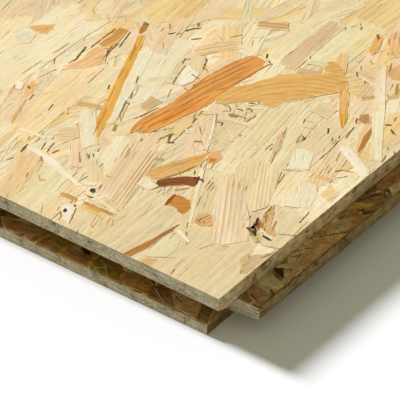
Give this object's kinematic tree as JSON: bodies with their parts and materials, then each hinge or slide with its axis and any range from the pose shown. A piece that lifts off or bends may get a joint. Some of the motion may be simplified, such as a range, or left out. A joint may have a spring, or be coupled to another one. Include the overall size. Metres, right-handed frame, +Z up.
{
  "type": "tongue-and-groove osb panel",
  "caption": "Flat oriented strand board panel with a tongue and groove milled along all its edges, for decking floors and roofs.",
  "frame": {"origin": "middle of the underside of the box around the panel, tongues counted in", "axes": "+X across the panel, towards its long tongue; +Y along the panel, towards its short tongue; +Z up, out of its top face"},
  "size_m": [0.686, 2.511, 0.022],
  "materials": {
    "strand_board": "unsanded pressed strands with a slight sheen, milled edges matt"
  },
  "bodies": {
    "root": {"osb_panel": "strand_board"}
  },
  "joints": []
}
